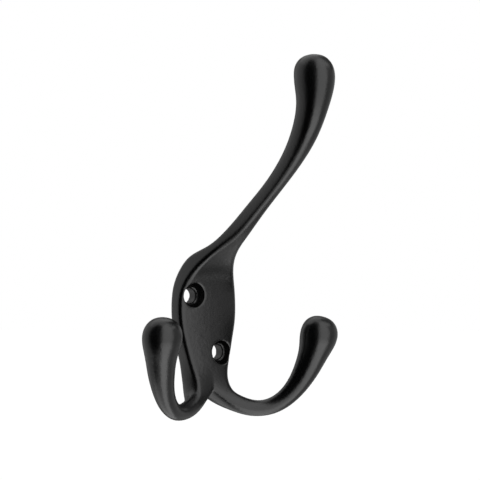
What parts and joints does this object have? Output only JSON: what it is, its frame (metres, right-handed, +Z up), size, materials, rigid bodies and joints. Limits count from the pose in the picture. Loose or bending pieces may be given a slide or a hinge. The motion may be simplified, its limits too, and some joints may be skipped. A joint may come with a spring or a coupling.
{
  "type": "coat hook",
  "caption": "Cast wall hook: a waisted plate with sunk screw holes runs up into a long curved arm and forks below into short side arms, each tipped with a rounded bulb.",
  "frame": {"origin": "on the wall plane, at the middle of the plate's width and midway in height between the screw holes", "axes": "+Z up, -Y out from the wall towards the viewer, +Y into the wall, +X to the viewer's right"},
  "size_m": [0.074, 0.0683, 0.1121],
  "materials": {
    "black_lacquer": "satin black lacquer on a zinc casting"
  },
  "bodies": {
    "root": {"hook_body": "black_lacquer"}
  },
  "joints": []
}
